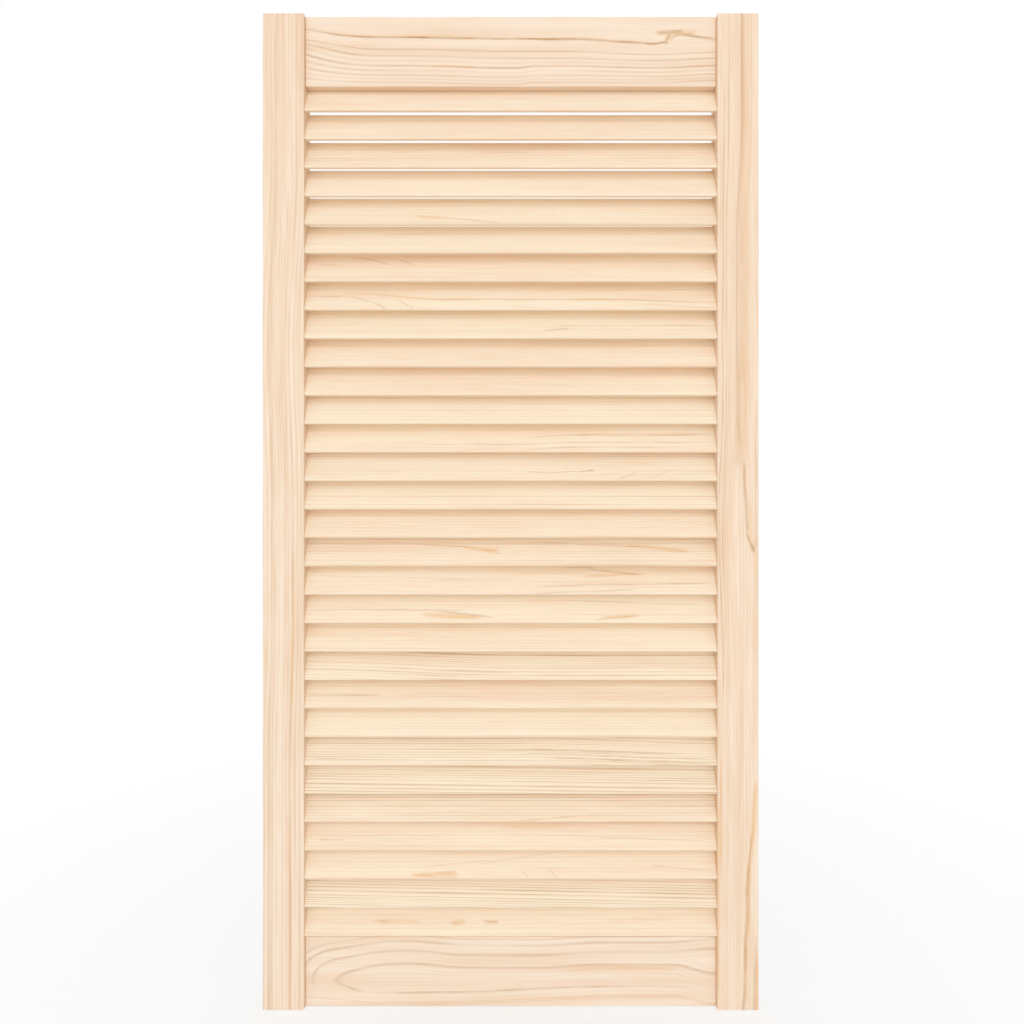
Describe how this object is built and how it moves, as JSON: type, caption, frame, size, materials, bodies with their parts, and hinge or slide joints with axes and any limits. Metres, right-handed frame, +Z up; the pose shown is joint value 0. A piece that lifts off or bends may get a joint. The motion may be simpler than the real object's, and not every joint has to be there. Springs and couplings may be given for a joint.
{
  "type": "louvred cabinet door",
  "caption": "Rectangular pine cabinet door whose frame of stiles and rails holds a full field of fixed, tilted slats that let air through and screen what is behind.",
  "frame": {"origin": "middle of the door's bottom edge, half way through its thickness", "axes": "+X across the door to the right as seen from the front, +Y from the front to the back, +Z up"},
  "size_m": [0.494, 0.021, 0.993],
  "materials": {
    "stile_pine": "planed and sanded pine, unfinished",
    "rail_pine": "planed and sanded pine, unfinished",
    "slat_pine": "planed and sanded pine, unfinished",
    "dowel_beech": "turned beech, unfinished"
  },
  "bodies": {
    "root": {"left_stile": "stile_pine", "right_stile": "stile_pine", "top_rail": "rail_pine", "bottom_rail": "rail_pine", "slat_01": "slat_pine", "slat_02": "slat_pine", "slat_03": "slat_pine", "slat_04": "slat_pine", "slat_05": "slat_pine", "slat_06": "slat_pine", "slat_07": "slat_pine", "slat_08": "slat_pine", "slat_09": "slat_pine", "slat_10": "slat_pine", "slat_11": "slat_pine", "slat_12": "slat_pine", "slat_13": "slat_pine", "slat_14": "slat_pine", "slat_15": "slat_pine", "slat_16": "slat_pine", "slat_17": "slat_pine", "slat_18": "slat_pine", "slat_19": "slat_pine", "slat_20": "slat_pine", "slat_21": "slat_pine", "slat_22": "slat_pine", "slat_23": "slat_pine", "slat_24": "slat_pine", "slat_25": "slat_pine", "slat_26": "slat_pine", "slat_27": "slat_pine", "slat_28": "slat_pine", "slat_29": "slat_pine", "slat_30": "slat_pine", "dowel_bottom_left_lower": "dowel_beech", "dowel_bottom_left_upper": "dowel_beech", "dowel_bottom_right_lower": "dowel_beech", "dowel_bottom_right_upper": "dowel_beech", "dowel_top_left_lower": "dowel_beech", "dowel_top_left_upper": "dowel_beech", "dowel_top_right_lower": "dowel_beech", "dowel_top_right_upper": "dowel_beech"}
  },
  "joints": []
}
